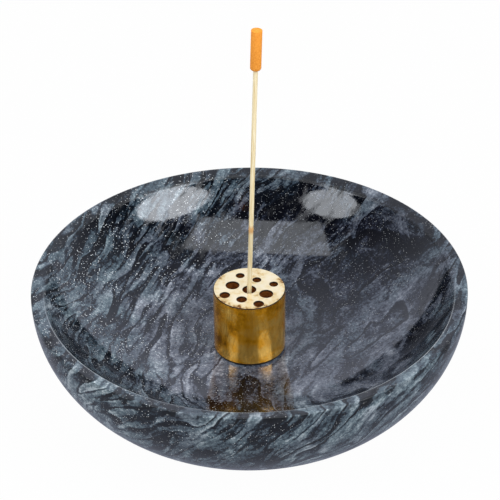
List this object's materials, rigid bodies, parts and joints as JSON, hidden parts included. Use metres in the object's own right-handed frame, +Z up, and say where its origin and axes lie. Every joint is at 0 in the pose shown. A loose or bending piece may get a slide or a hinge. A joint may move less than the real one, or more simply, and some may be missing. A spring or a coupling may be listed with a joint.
{
  "type": "incense stick holder",
  "caption": "Shallow polished stone bowl with a loose brass cylinder standing in its middle, drilled on top to hold incense sticks upright over the bowl that catches their ash.",
  "frame": {"origin": "on the bowl's axis, on the surface that the bowl stands on", "axes": "+Z up along the bowl's axis, -Y towards the picture's viewer, +X to the viewer's right"},
  "size_m": [0.12, 0.12, 0.1114],
  "materials": {
    "stone": "polished, dark grey with pale veins",
    "brass": "turned and polished, slightly tarnished",
    "rubber": "matte black",
    "bamboo": "bare split bamboo",
    "incense": "matte orange incense paste",
    "felt": "dark felt"
  },
  "bodies": {
    "bowl": {"stone_bowl": "stone", "felt_pad_1": "felt", "felt_pad_2": "felt", "felt_pad_3": "felt", "felt_pad_4": "felt"},
    "holder": {"brass_holder": "brass", "holder_pad": "rubber"},
    "stick": {"bamboo_core": "bamboo", "incense_coat": "incense"}
  },
  "joints": [
    {"name": "holder_lift", "type": "slide", "parent": "bowl", "child": "holder", "axis": [0, 0, 1], "range_m": [0, 0.06]},
    {"name": "stick_pull", "type": "slide", "parent": "holder", "child": "stick", "axis": [0.0305, 0, 0.9995], "range_m": [0, 0.04]}
  ]
}
